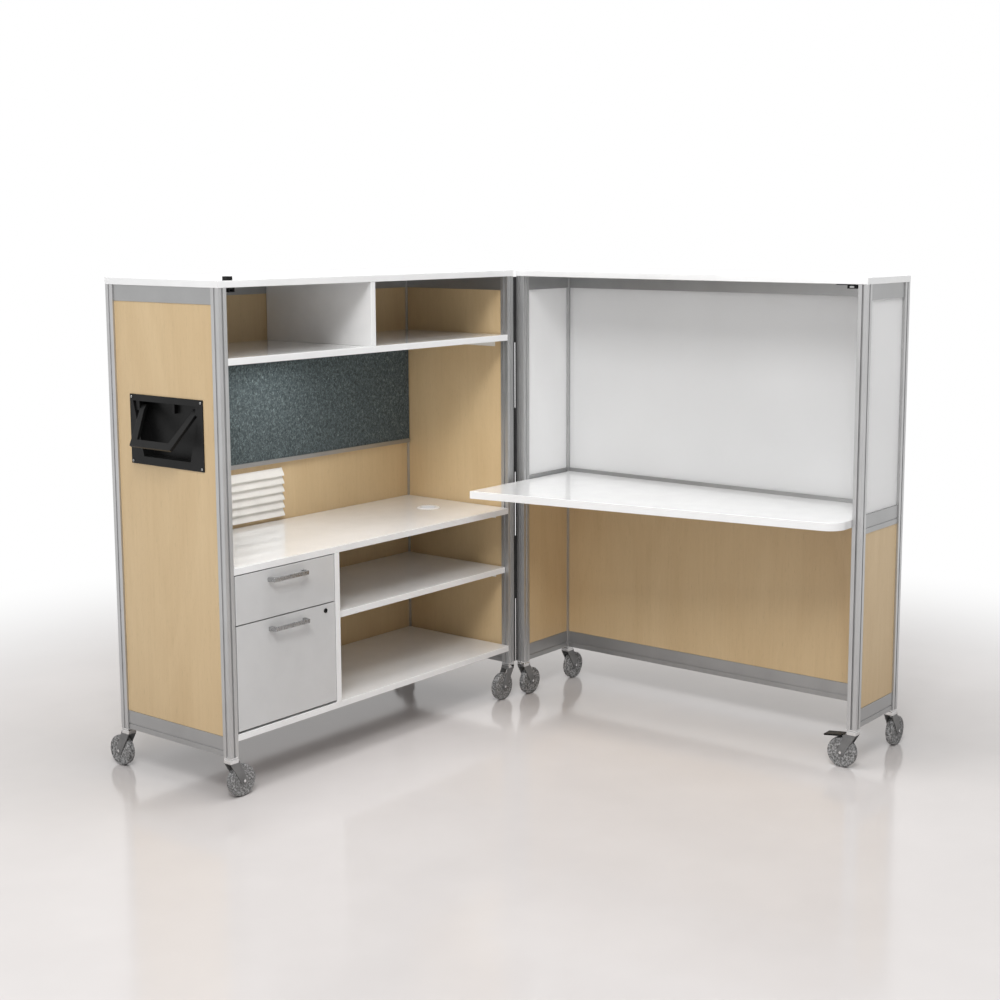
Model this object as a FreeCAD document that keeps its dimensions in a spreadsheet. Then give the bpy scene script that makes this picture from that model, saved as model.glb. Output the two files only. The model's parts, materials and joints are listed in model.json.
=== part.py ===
"""A cubicle workstation on casters: a storage cabinet and a desk cabinet, hinged at their front corners.

It stands a quarter turn open. Both open fronts meet face to face when it folds shut.
Places along a cabinet are counted from the hinge corner (along), and from its open front inwards (deep).
Lengths are in millimetres, +Z is up, and the origin is the middle of the whole box, on the floor.
"""
import FreeCAD, Part
import Sketcher
import os
import re

Vector = FreeCAD.Vector
Rotation = FreeCAD.Rotation

SIZES = {
    # Both cabinets
    "unit_length": 1308,
    "storage_depth": 492,
    "desk_depth": 289,
    "fold_gap": 17,
    "closed_gap": 5,
    "floor_to_post": 125,
    "post_length": 1347,
    # Square aluminium posts with a T-slot in each face
    "post_side": 31,
    "slot_mouth": 6,
    "slot_lip": 2.5,
    "slot_width": 12,
    "slot_floor": 6.5,
    # Rails, panels and top slabs
    "rail_thick": 23,
    "top_rail_height": 47,
    "low_rail_height": 58,
    "low_rail_lift": 1,
    "groove_width": 4,
    "groove_depth": 2.5,
    "groove_drop": 38,
    "panel_thick": 19,
    "screen_thick": 12,
    "slab_thick": 20,
    "slab_overhang": 1,
    # Storage shelves
    "board_thick": 20,
    "overhead_drop": 197,
    "divider_offset": 24,
    "storage_work_top": 677,
    "middle_shelf_top": 468,
    "middle_setback": 14,
    "bottom_shelf_rise": 65,
    "cleat_leg": 22,
    "cleat_wall": 2.5,
    "cleat_setback": 60,
    # Back wall fittings
    "tack_bottom": 884,
    "tack_thick": 12,
    "ledge_height": 14,
    "ledge_proud": 3,
    "slat_gap": 17,
    "slat_length": 612,
    "slat_height": 160,
    "slat_lift": 14,
    "slat_thick": 14,
    "slat_web": 4,
    "slat_count": 6,
    # Cable grommet
    "grommet_along": 188,
    "grommet_deep": 228,
    "grommet_flange": 39.5,
    "grommet_sleeve": 31,
    "grommet_bore": 27,
    "grommet_lip": 3,
    "grommet_rebate": 1,
    "grommet_length": 30,
    "fit_clear": 0.3,
    # Drawer pedestal
    "pedestal_width": 422,
    "pedestal_wall": 20,
    "liner_thick": 18,
    "front_gap": 3,
    "base_gap": 7,
    "front_thick": 18,
    "box_front_height": 144,
    "tray_steel": 1.5,
    "tray_back_gap": 28.7,
    "box_tray_height": 95,
    "file_tray_height": 235,
    "tray_lift": 22,
    "runner_space": 13,
    "runner_height": 35,
    "runner_steel": 2,
    "strip_thick": 6,
    "runner_rise": 30,
    "pull_length": 148,
    "pull_height": 12,
    "pull_reach": 26,
    "pull_bar": 7,
    "pull_foot": 12,
    "pull_drop": 24,
    "lock_inset": 40,
    "lock_drop": 20,
    "lock_radius": 7,
    "lock_proud": 2,
    "key_slot_width": 1.6,
    "key_slot_length": 9,
    "key_slot_depth": 6,
    # Recessed bail handle in the outer end
    "handle_offset": 5.5,
    "handle_drop": 100,
    "handle_width": 319,
    "handle_height": 205,
    "handle_flange": 3,
    "recess_top_margin": 19,
    "recess_side_margin": 14,
    "recess_height": 162,
    "recess_low_width": 205,
    "recess_depth": 40,
    "recess_wall": 3,
    "rib_width": 10,
    "rib_height": 32,
    "rib_depth": 12,
    "bail_drop": 20,
    "bail_inset": 14,
    "bail_span": 225,
    "bail_grip_length": 178,
    "bail_reach": 128,
    "bail_grip_width": 22,
    "bail_arm_width": 20,
    "bail_thick": 10,
    "bail_angle": 35,
    "bail_pin": 4,
    "bail_pin_length": 7,
    "ear_radius": 9,
    # Desk surface
    "desk_work_top": 772,
    "desk_work_thick": 25,
    "desk_rail_rise": 12,
    "near_reach": 292,
    "far_reach": 90,
    "work_corner": 60,
    "work_side_gap": 1,
    # Continuous hinge
    "knuckle_radius": 5,
    "knuckle_count": 6,
    "knuckle_gap": 0.4,
    "hinge_pin_radius": 2.5,
    "running_clear": 0.05,
    "leaf_thick": 1.5,
    "leaf_width": 22,
    "leaf_end_gap": 2,
    # Top latch
    "latch_inset": 52,
    "latch_plate_length": 66,
    "latch_plate_width": 30,
    "latch_plate_thick": 3,
    "latch_block": 30,
    "latch_block_height": 13,
    "latch_front": 1,
    "bolt_width": 14,
    "bolt_height": 5,
    "bolt_length": 58,
    "bolt_tab": 6,
    "bolt_tab_drop": 12,
    "bolt_clear": 0.3,
    "keeper_width": 22,
    "keeper_cap": 20,
    "keeper_cap_height": 11,
    "keeper_cap_setback": 8,
    # Casters
    "wheel_radius": 47,
    "wheel_width": 22,
    "caster_trail": 35,
    "axle_radius": 4,
    "nut_radius": 7,
    "nut_height": 2,
    "fork_width": 30,
    "fork_wall": 3,
    "fork_boss": 10,
    "boss_flat_share": 0.6,
    "head_half": 14,
    "head_height": 14,
    "kingpin_radius": 5,
    "caster_plate": 5,
    "caster_plate_side": 30,
    # Brake pedal
    "pedal_pivot_along": 24,
    "pedal_pivot_height": 100,
    "pedal_pin": 2.5,
    "pedal_hub": 5,
    "pedal_neck": 22,
    "pedal_width": 38,
    "pedal_thick": 5,
    "pedal_back": 8,
    "pedal_reach": 66,
    "pedal_fall": 7,
    # How far cuts run past what they cut
    "overrun": 10,
}

PLACES = {
    "corner_x": "0",
    "corner_y": "0",
    "post_top": "floor_to_post + post_length",
    "bay_low": "post_side",
    "bay_high": "unit_length - post_side",
    "panel_face": "(post_side - panel_thick) / 2",
    "panel_inner": "panel_face + panel_thick",
    "rail_face": "(post_side - rail_thick) / 2",
    "rail_inner": "rail_face + rail_thick",
    "screen_face": "(post_side - screen_thick) / 2",
    "panel_top": "post_top - top_rail_height",
    "desk_rail_top": "desk_work_top + desk_rail_rise",
    "low_rail_bottom": "floor_to_post + low_rail_lift",
    "low_rail_top": "low_rail_bottom + low_rail_height",
    "desk_rail_bottom": "desk_rail_top - low_rail_height",
    "storage_back": "storage_depth - panel_inner",
    "storage_board_back": "storage_depth - rail_inner",
    "desk_board_back": "desk_depth - rail_inner",
    "overhead_top": "post_top - overhead_drop",
    "overhead_bottom": "overhead_top - board_thick",
    "divider_along": "unit_length / 2 + divider_offset",
    "bottom_shelf_top": "floor_to_post + bottom_shelf_rise",
    "storage_work_bottom": "storage_work_top - board_thick",
    "ledge_bottom": "tack_bottom - ledge_height",
    "ledge_front": "storage_back - tack_thick - ledge_proud",
    "slat_bottom": "storage_work_top + slat_lift",
    "slat_along": "bay_high - slat_gap - slat_length",
    "pedestal_low": "bay_high - pedestal_width",
    "pedestal_inner": "pedestal_low + pedestal_wall",
    "liner_high": "unit_length - panel_inner",
    "liner_inner": "liner_high - liner_thick",
    "front_low": "pedestal_inner + front_gap",
    "front_high": "bay_high - front_gap",
    "box_front_top": "storage_work_bottom - front_gap",
    "box_front_bottom": "box_front_top - box_front_height",
    "file_front_top": "box_front_bottom - front_gap",
    "file_front_bottom": "bottom_shelf_top + base_gap",
    "tray_low": "pedestal_inner + runner_space",
    "tray_high": "liner_inner - runner_space",
    "tray_depth": "storage_back - tray_back_gap - front_thick - fit_clear",
    "pull_middle": "(front_low + front_high) / 2",
    "handle_middle": "storage_depth / 2 - handle_offset",
    "handle_deep": "handle_middle - handle_width / 2",
    "handle_bottom": "overhead_bottom - handle_drop - handle_height",
    "recess_top": "handle_bottom + handle_height - recess_top_margin",
    "recess_bottom": "recess_top - recess_height",
    "recess_width": "handle_width - 2 * recess_side_margin",
    "flange_face": "unit_length - panel_face + handle_flange",
    "bail_height": "recess_top - bail_drop",
    "bail_along": "flange_face - bail_inset",
    "recess_taper": "(recess_width - recess_low_width) / 2 / recess_height",
    "ear_inner": "bail_span / 2 + bail_arm_width / 2 + fit_clear",
    "ear_outer": "recess_width / 2 - (bail_drop + ear_radius) * recess_taper + recess_wall / 2",
    "desk_work_bottom": "desk_work_top - desk_work_thick",
    "fold_offset": "(fold_gap - closed_gap) / 2",
    "knuckle_pitch": "(post_length - 2 * leaf_end_gap) / knuckle_count",
    "hinge_bottom": "floor_to_post + leaf_end_gap",
    "latch_along": "unit_length - latch_inset",
    "latch_bottom": "post_top - latch_block_height",
    "bolt_bottom": "latch_bottom + (latch_block_height - latch_plate_thick - bolt_height) / 2",
    "latch_back": "latch_front + latch_plate_width",
    "head_top": "floor_to_post - caster_plate - fit_clear",
    "head_bottom": "head_top - head_height",
    "boss_flat": "fork_boss * boss_flat_share",
    "stem_inset": "post_side / 2",
}

doc = FreeCAD.newDocument("cubicle_workstation")
parts = {}


def ref(formula):
    """The formula with each named size or place pointed at its sheet."""
    def sheet_name(word):
        if word in SIZES:
            return "Sizes." + word
        return "Places." + word if word in PLACES else word
    return re.sub(r"[a-z][a-z_]*", lambda found: sheet_name(found.group()), str(formula))


def fill_sheet(name, rows):
    """A sheet with one named cell in each row."""
    sheet = doc.addObject("Spreadsheet::Sheet", name)
    for row, (alias, content) in enumerate(rows.items(), start=1):
        sheet.set(f"A{row}", alias)
        sheet.set(f"B{row}", content)
        sheet.setAlias(f"B{row}", alias)
    return sheet


def bind(item, **formulas):
    """Ties properties of an object to the sheets."""
    for prop, formula in formulas.items():
        item.setExpression(prop, ref(formula))


def put(item, x, y, z, turn=None):
    """Places an object, its position tied to the sheets."""
    if turn is not None:
        item.Placement = FreeCAD.Placement(Vector(), turn)
    for axis, formula in zip("xyz", (x, y, z)):
        item.setExpression("Placement.Base." + axis, ref(formula))
    return item


def number(formula):
    """What a formula is worth now."""
    return float(places.evalExpression(ref(formula)))


class Cabinet:
    """Turns places along and deep into a cabinet into x and y."""

    def __init__(self, x, y):
        self.x = x
        self.y = y

    def point(self, along, deep):
        return self.x.format(along=along, deep=deep), self.y.format(along=along, deep=deep)

    def span(self, along, deep):
        """The x and y pairs, low then high, of a stretch along and deep."""
        ends = [self.point(a, d) for a, d in zip(along, deep)]
        pairs = [(ends[0][axis], ends[1][axis]) for axis in (0, 1)]
        return [tuple(sorted(pair, key=number)) for pair in pairs]


storage = Cabinet("corner_x - ({along})", "corner_y + ({deep})")
desk = Cabinet("corner_x + fold_gap + ({deep})", "corner_y - ({along})")


def block(cabinet, along, deep, high, name="board"):
    """A plain board between low and high places."""
    box = doc.addObject("Part::Box", name)
    x, y = cabinet.span(along, deep)
    for prop, (low, top) in zip(("Length", "Width", "Height"), (x, y, high)):
        box.setExpression(prop, ref(f"({top}) - ({low})"))
    return put(box, x[0], y[0], high[0])


def rod(radius, length, x, y, z, turn=None, name="rod"):
    """A round bar that starts at a point and runs along +Z unless it is turned."""
    bar = doc.addObject("Part::Cylinder", name)
    bind(bar, Radius=radius, Height=length)
    return put(bar, x, y, z, turn)


def fuse(*shapes):
    whole = doc.addObject("Part::MultiFuse", "joined")
    whole.Shapes = list(shapes)
    return whole


def cut(base, *tools):
    rest = doc.addObject("Part::Cut", "cut")
    rest.Base = base
    rest.Tool = tools[0] if len(tools) == 1 else fuse(*tools)
    return rest


def part(name, *solids):
    """Registers one sub-part, made of one solid or a set of like ones."""
    if len(solids) == 1:
        item = solids[0]
    else:
        item = doc.addObject("Part::Compound", name)
        item.Links = list(solids)
    item.Label = name
    parts[name] = item
    return item


def new_body(name):
    return doc.addObject("PartDesign::Body", name)


def new_sketch(body, role, lift=None):
    """An empty sketch on one of the body's own planes, lifted off it if asked."""
    sketch = body.newObject("Sketcher::SketchObject", "outline")
    plane = next(f for f in body.Origin.OriginFeatures if f.Role == role)
    sketch.AttachmentSupport = (plane, [""])
    sketch.MapMode = "FlatFace"
    if lift is not None:
        sketch.setExpression("AttachmentOffset.Base.z", ref(lift))
    return sketch


def polygon(body, role, points, lift=None):
    """A closed outline whose corners are tied to the sheets."""
    sketch = new_sketch(body, role, lift)
    values = [Vector(number(x), number(y), 0) for x, y in points]
    count = len(points)
    sketch.addGeometry([Part.LineSegment(values[i], values[(i + 1) % count]) for i in range(count)])
    for i in range(count):
        sketch.addConstraint(Sketcher.Constraint("Coincident", i, 2, (i + 1) % count, 1))
    for i, (x, y) in enumerate(points):
        for axis, formula, value in (("DistanceX", x, values[i].x), ("DistanceY", y, values[i].y)):
            index = sketch.addConstraint(Sketcher.Constraint(axis, -1, 1, i, 1, value))
            sketch.setExpression(f"Constraints[{index}]", ref(formula))
    return sketch


def circle(body, role, x, y, radius, lift=None):
    """A round outline tied to the sheets."""
    sketch = new_sketch(body, role, lift)
    middle = Vector(number(x), number(y), 0)
    sketch.addGeometry(Part.Circle(middle, Vector(0, 0, 1), number(radius)))
    for constraint, formula in (
        (Sketcher.Constraint("DistanceX", -1, 1, 0, 3, middle.x), x),
        (Sketcher.Constraint("DistanceY", -1, 1, 0, 3, middle.y), y),
        (Sketcher.Constraint("Radius", 0, number(radius)), radius),
    ):
        index = sketch.addConstraint(constraint)
        sketch.setExpression(f"Constraints[{index}]", ref(formula))
    return sketch


def pad(body, sketch, length, both_ways=False):
    feature = body.newObject("PartDesign::Pad", "pad")
    feature.Profile = sketch
    feature.Midplane = both_ways
    bind(feature, Length=length)
    return feature


def pocket(body, sketch):
    """A cut right through, both ways from the sketch."""
    feature = body.newObject("PartDesign::Pocket", "pocket")
    feature.Profile = sketch
    feature.Type = "ThroughAll"
    feature.Midplane = True
    return feature


def blind_pocket(body, sketch, depth, reverse=False):
    """A cut of a set depth, against the sketch's normal unless reversed."""
    feature = body.newObject("PartDesign::Pocket", "recess")
    feature.Profile = sketch
    feature.Reversed = reverse
    bind(feature, Length=depth)
    return feature


def revolve(body, sketch, axis="V_Axis"):
    feature = body.newObject("PartDesign::Revolution", "revolution")
    feature.Profile = sketch
    feature.ReferenceAxis = (sketch, [axis])
    return feature


def mirrored_pairs(points):
    """An outline on both sides of the upright middle line, from its right half."""
    return points + [(f"-({x})", y) for x, y in reversed(points)]


ALONG_X = Rotation(Vector(1, 1, 1), 120)
ALONG_Y = Rotation(Vector(0, 1, 1), 180)


def post(cabinet, along, deep):
    """A square post: one slot outline is cut, then repeated round the middle."""
    body = new_body("post")
    half = "post_side / 2"
    square = mirrored_pairs([(half, f"-({half})"), (half, half)])
    pad(body, polygon(body, "XY_Plane", square), "post_length")
    slot = mirrored_pairs([
        ("slot_mouth / 2", "post_side / 2 + overrun"),
        ("slot_mouth / 2", "post_side / 2 - slot_lip"),
        ("slot_width / 2", "post_side / 2 - slot_lip"),
        ("slot_mouth / 2", "post_side / 2 - slot_floor"),
    ])
    channel = pocket(body, polygon(body, "XY_Plane", slot))
    ring = body.newObject("PartDesign::PolarPattern", "slots")
    ring.Originals = [channel]
    ring.Axis = (next(f for f in body.Origin.OriginFeatures if f.Role == "Z_Axis"), [""])
    ring.Occurrences = 4
    body.Tip = ring
    x, y = cabinet.point(along, deep)
    return put(body, x, y, "floor_to_post")


def posts(name, cabinet, depth):
    middles = ("post_side / 2", "unit_length - post_side / 2")
    deeps = ("post_side / 2", f"{depth} - post_side / 2")
    part(name, *[post(cabinet, along, deep) for along in middles for deep in deeps])


def rail(height, length, grooved, x, y, z, turn):
    """A rail laid along X or Y. The deeper ones have a groove near the foot of both faces."""
    half = "rail_thick / 2"
    side = [(half, "0")]
    if grooved:
        groove_high = f"{height} - groove_drop"
        inner = f"{half} - groove_depth"
        side += [(half, f"{groove_high} - groove_width"), (inner, f"{groove_high} - groove_width")]
        side += [(inner, groove_high), (half, groove_high)]
    side += [(half, height)]
    body = new_body("rail")
    pad(body, polygon(body, "XY_Plane", mirrored_pairs(side)), length)
    return put(body, x, y, z, turn)


def rail_ring(cabinet, depth, height, bottom, grooved):
    """Rails round a cabinet's back and two ends, at one height."""
    middle = "post_side / 2"
    between = {"along": "unit_length - 2 * post_side", "deep": f"{depth} - 2 * post_side"}
    along_turn, deep_turn = (ALONG_X, ALONG_Y) if cabinet is storage else (ALONG_Y, ALONG_X)
    x, y = cabinet.point("bay_high", f"{depth} - {middle}")
    rails = [rail(height, between["along"], grooved, x, y, bottom, along_turn)]
    for along in (middle, f"unit_length - {middle}"):
        x, y = cabinet.point(along, "post_side")
        rails.append(rail(height, between["deep"], grooved, x, y, bottom, deep_turn))
    return rails


def rails():
    ledge = block(storage, ("bay_low", "bay_high"), ("ledge_front", "storage_depth - rail_face"),
                  ("ledge_bottom", "tack_bottom"))
    part("storage_rails",
         *rail_ring(storage, "storage_depth", "top_rail_height", "panel_top", False),
         *rail_ring(storage, "storage_depth", "low_rail_height", "low_rail_bottom", True),
         ledge)
    part("desk_rails",
         *rail_ring(desk, "desk_depth", "top_rail_height", "panel_top", False),
         *rail_ring(desk, "desk_depth", "low_rail_height", "desk_rail_bottom", True),
         *rail_ring(desk, "desk_depth", "low_rail_height", "low_rail_bottom", True))


def end_panel(cabinet, depth, along_face, thick, high):
    """A panel between the front and back posts of one end."""
    along = (along_face, f"{along_face} + {thick}")
    return block(cabinet, along, ("post_side", f"{depth} - post_side"), high)


def back_panel(cabinet, depth, face, thick, high):
    deep = (f"{depth} - {face} - {thick}", f"{depth} - {face}")
    return block(cabinet, ("bay_low", "bay_high"), deep, high)


def far_face(face, thick):
    return f"unit_length - {face} - {thick}"


def handle_hole(margin):
    """The trapezoid of the handle's recess in the end panel, as high and deep places, grown by a margin."""
    top = f"recess_width / 2 + {margin}"
    low = f"recess_low_width / 2 + {margin}"
    return [
        (f"handle_middle - ({low})", f"recess_bottom - ({margin})"),
        (f"handle_middle + ({low})", f"recess_bottom - ({margin})"),
        (f"handle_middle + ({top})", f"recess_top + {margin}"),
        (f"handle_middle - ({top})", f"recess_top + {margin}"),
    ]


def storage_panels():
    high = ("low_rail_top", "panel_top")
    solid = end_panel(storage, "storage_depth", far_face("panel_face", "panel_thick"), "panel_thick", high)
    hole = new_body("handle_hole")
    outline = handle_hole("recess_wall + fit_clear")
    pad(hole, polygon(hole, "YZ_Plane", outline), "panel_thick + 2 * overrun")
    x, y = storage.point("unit_length - panel_face + overrun", "0")
    put(hole, x, y, "0")
    part("outer_end_panel", cut(solid, hole))
    part("hinge_end_panel", end_panel(storage, "storage_depth", "panel_face", "panel_thick", high))
    spans = (("low_rail_top", "ledge_bottom"), ("tack_bottom", "panel_top"))
    part("storage_back_panels",
         *[back_panel(storage, "storage_depth", "panel_face", "panel_thick", span) for span in spans])


def desk_panels():
    low = ("low_rail_top", "desk_rail_bottom")
    high = ("desk_rail_top", "panel_top")
    part("desk_lower_panels",
         end_panel(desk, "desk_depth", "panel_face", "panel_thick", low),
         end_panel(desk, "desk_depth", far_face("panel_face", "panel_thick"), "panel_thick", low),
         back_panel(desk, "desk_depth", "panel_face", "panel_thick", low))
    part("desk_end_screens",
         end_panel(desk, "desk_depth", "screen_face", "screen_thick", high),
         end_panel(desk, "desk_depth", far_face("screen_face", "screen_thick"), "screen_thick", high))
    part("desk_back_screen", back_panel(desk, "desk_depth", "screen_face", "screen_thick", high))


def slabs():
    """The top slab of each cabinet."""
    along = ("-slab_overhang", "unit_length + slab_overhang")
    high = ("post_top", "post_top + slab_thick")
    for cabinet, side in ((storage, "storage"), (desk, "desk")):
        deep = ("-slab_overhang", f"{side}_depth + slab_overhang")
        part(f"{side}_top", block(cabinet, along, deep, high))


def shelf(name, along_high, front, top):
    return part(name, block(storage, ("bay_low", along_high), (front, "storage_board_back"),
                            (f"{top} - board_thick", top)))


def storage_shelves():
    shelf("overhead_shelf", "bay_high", "0", "overhead_top")
    shelf("middle_shelf", "pedestal_low", "middle_setback", "middle_shelf_top")
    shelf("bottom_shelf", "bay_high", "0", "bottom_shelf_top")
    part("overhead_divider", block(storage, ("divider_along", "divider_along + board_thick"),
                                   ("0", "storage_board_back"), ("overhead_top", "post_top")))
    surface = block(storage, ("bay_low", "bay_high"), ("0", "storage_board_back"),
                    ("storage_work_bottom", "storage_work_top"))
    x, y = storage.point("grommet_along", "grommet_deep")
    hole = rod("grommet_sleeve + fit_clear", "board_thick + 2 * overrun", x, y,
               "storage_work_bottom - overrun")
    rebate = rod("grommet_flange + fit_clear", "grommet_rebate + overrun", x, y,
                 "storage_work_top - grommet_rebate")
    part("storage_worksurface", cut(surface, hole, rebate))


def grommet():
    body = new_body("grommet")
    section = [
        ("grommet_bore", "-grommet_length"), ("grommet_sleeve", "-grommet_length"),
        ("grommet_sleeve", "0"), ("grommet_flange", "0"),
        ("grommet_flange - grommet_lip", "grommet_lip"), ("grommet_bore", "grommet_lip"),
    ]
    revolve(body, polygon(body, "XZ_Plane", section))
    x, y = storage.point("grommet_along", "grommet_deep")
    part("cable_grommet", put(body, x, y, "storage_work_top - grommet_rebate"))


def cleat(cabinet, along, facing, depth_end, top):
    """An angle under a shelf's end. It is fixed to the wall at `along` and reaches the way it faces."""
    body = new_body("cleat")
    leg, wall = "cleat_leg", "cleat_wall"
    outline = [("0", "0"), (f"{facing} * {leg}", "0"), (f"{facing} * {leg}", f"-{wall}"),
               (f"{facing} * {wall}", f"-{wall}"), (f"{facing} * {wall}", f"-{leg}"), ("0", f"-{leg}")]
    pad(body, polygon(body, "XY_Plane", outline), f"{depth_end} - 2 * cleat_setback")
    x, y = cabinet.point(along, "cleat_setback")
    return put(body, x, y, top, ALONG_Y if cabinet is storage else ALONG_X)


def cleats():
    """The storage angles stand on the end panels or the pedestal, and the desk's on its lower panels."""
    low_wall, high_wall = "panel_inner", "unit_length - panel_inner"
    full = [("overhead_bottom", high_wall), ("storage_work_bottom", None),
            ("middle_shelf_top - board_thick", "pedestal_low")]
    made = []
    for top, far_wall in full:
        made.append(cleat(storage, low_wall, 1, "storage_depth", top))
        if far_wall:
            made.append(cleat(storage, far_wall, -1, "storage_depth", top))
    part("shelf_cleats", *made)
    part("desk_cleats",
         cleat(desk, "rail_inner", -1, "desk_depth", "desk_work_bottom"),
         cleat(desk, "unit_length - rail_inner", 1, "desk_depth", "desk_work_bottom"))


def tackboard():
    part("tackboard", block(storage, ("bay_low", "bay_high"), ("storage_back - tack_thick", "storage_back"),
                            ("tack_bottom", "overhead_bottom")))


def slat_tile():
    """One extruded section: a web with a leaning slat at each step."""
    pitch = "slat_height / slat_count"
    outline = [("0", "0")]
    for step in range(SIZES["slat_count"]):
        low, high = f"{step} * {pitch}", f"{step + 1} * {pitch}"
        outline += [("slat_thick", low), ("slat_thick", f"{low} + slat_web"),
                    ("slat_web", f"{high} - slat_web"), ("slat_web", high)]
    outline += [("0", "slat_height")]
    body = new_body("slats")
    pad(body, polygon(body, "YZ_Plane", [(f"-({x})", y) for x, y in outline]), "slat_length")
    x, y = storage.point("slat_along + slat_length", "storage_back")
    part("slat_tile", put(body, x, y, "slat_bottom"))


def pedestal():
    high = ("bottom_shelf_top", "storage_work_bottom")
    part("pedestal_sides",
         block(storage, ("pedestal_low", "pedestal_inner"), ("0", "storage_board_back"), high),
         block(storage, ("liner_inner", "liner_high"), ("post_side", "storage_board_back - overrun"), high))


def runner(wall, facing, bottom):
    """A fixed channel on a pedestal wall, open towards the drawer."""
    body = new_body("runner")
    steel, space = "runner_steel", "runner_space - fit_clear"
    outline = [("0", "0"), (space, "0"), (space, steel), (steel, steel),
               (steel, f"runner_height - {steel}"), (space, f"runner_height - {steel}"),
               (space, "runner_height"), ("0", "runner_height")]
    if facing < 0:
        outline = [(f"-({x})", y) for x, y in outline]
    pad(body, polygon(body, "XY_Plane", outline), "tray_depth")
    x, y = storage.point(wall, "front_thick + fit_clear")
    return put(body, x, y, bottom, ALONG_Y)


def runners():
    made = []
    for bottom in ("box_front_bottom + runner_rise", "file_front_bottom + runner_rise"):
        made.append(runner("pedestal_inner", 1, bottom))
        made.append(runner("liner_inner", -1, bottom))
    part("drawer_runners", *made)


def pull(name, top):
    """A bridge-shaped bar pull: its outline seen from above, with slanted feet."""
    half, reach, bar = "pull_length / 2", "pull_reach", "pull_bar"
    foot = [(f"{half} - pull_foot / 2 - {bar}", f"{bar} - {reach}"), (f"{half} - pull_foot", "0"),
            (half, "0"), (f"{half} - pull_foot / 2", f"-{reach}")]
    body = new_body("pull")
    pad(body, polygon(body, "XY_Plane", mirrored_pairs(foot)), "pull_height")
    x, y = storage.point("pull_middle", "0")
    part(name, put(body, x, y, f"{top} - pull_drop - pull_height"))


def tray(name, bottom, height):
    """A folded steel box, with a strip on each side that runs in the fixed channel."""
    low = f"{bottom} + tray_lift"
    deep = ("front_thick + fit_clear", "front_thick + fit_clear + tray_depth")
    outer = block(storage, ("tray_low", "tray_high"), ("front_thick", deep[1]), (low, f"{low} + {height}"))
    inner = block(storage, ("tray_low + tray_steel", "tray_high - tray_steel"),
                  ("front_thick + tray_steel", f"{deep[1]} - tray_steel"),
                  (f"{low} + tray_steel", f"{low} + {height} + overrun"))
    shell = cut(outer, inner)
    strip_high = (f"{bottom} + runner_rise + runner_steel + fit_clear",
                  f"{bottom} + runner_rise + runner_height - runner_steel - fit_clear")
    sides = (("tray_low - strip_thick", "tray_low"), ("tray_high", "tray_high + strip_thick"))
    strips = [block(storage, along, deep, strip_high) for along in sides]
    part(name, fuse(shell, *strips))


def drawers():
    along = ("front_low", "front_high")
    deep = ("0", "front_thick")
    part("box_drawer_front", block(storage, along, deep, ("box_front_bottom", "box_front_top")))
    tray("box_drawer_tray", "box_front_bottom", "box_tray_height")
    pull("box_drawer_pull", "box_front_top")
    front = block(storage, along, deep, ("file_front_bottom", "file_front_top"))
    lock_z = "file_front_top - lock_drop"
    turn = Rotation(Vector(1, 0, 0), 90)
    x, y = storage.point("front_low + lock_inset", "front_thick + overrun")
    hole = rod("lock_radius + running_clear", "front_thick + 2 * overrun", x, y, lock_z, turn)
    part("file_drawer_front", cut(front, hole))
    tray("file_drawer_tray", "file_front_bottom", "file_tray_height")
    pull("file_drawer_pull", "file_front_top")
    x, y = storage.point("front_low + lock_inset", "front_thick")
    plug = rod("lock_radius", "front_thick + lock_proud", x, y, lock_z, turn)
    slot_along = "front_low + lock_inset"
    key_slot = block(storage, (f"{slot_along} - key_slot_width / 2", f"{slot_along} + key_slot_width / 2"),
                     ("-lock_proud - overrun", "key_slot_depth - lock_proud"),
                     (f"{lock_z} - key_slot_length / 2", f"{lock_z} + key_slot_length / 2"))
    part("drawer_lock", cut(plug, key_slot))


def handle_tray():
    """A moulded tray: a flange, a tapering well sunk through the end panel, ears for the bail and a rib."""
    body = new_body("tray")
    frame = [("handle_deep", "handle_bottom"), ("handle_deep + handle_width", "handle_bottom"),
             ("handle_deep + handle_width", "handle_bottom + handle_height"),
             ("handle_deep", "handle_bottom + handle_height")]
    pad(body, polygon(body, "YZ_Plane", frame), "handle_flange")
    pad(body, polygon(body, "YZ_Plane", handle_hole("recess_wall")), "recess_depth + recess_wall")
    cavity = polygon(body, "YZ_Plane", handle_hole("0"))
    blind_pocket(body, cavity, "recess_depth", reverse=True)
    x, y = storage.point("flange_face", "0")
    put(body, x, y, "0")
    solids = [body]
    for side in (-1, 1):
        deeps = (f"handle_middle + {side} * ear_inner", f"handle_middle + {side} * ear_outer")
        solids.append(block(storage, ("bail_along - ear_radius", "bail_along + ear_radius"), deeps,
                            ("bail_height - ear_radius", "recess_top")))
    rib = block(storage, ("flange_face - recess_depth", "flange_face - recess_depth + rib_depth"),
                ("handle_middle - rib_width / 2", "handle_middle + rib_width / 2"),
                ("recess_top - rib_height", "recess_top"))
    solids.append(rib)
    x, y = storage.point("bail_along", "handle_middle - ear_outer")
    turn = Rotation(Vector(1, 0, 0), -90)
    bore = rod("bail_pin + running_clear", "2 * ear_outer", x, y, "bail_height", turn)
    part("handle_tray", cut(fuse(*solids), bore))


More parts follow.
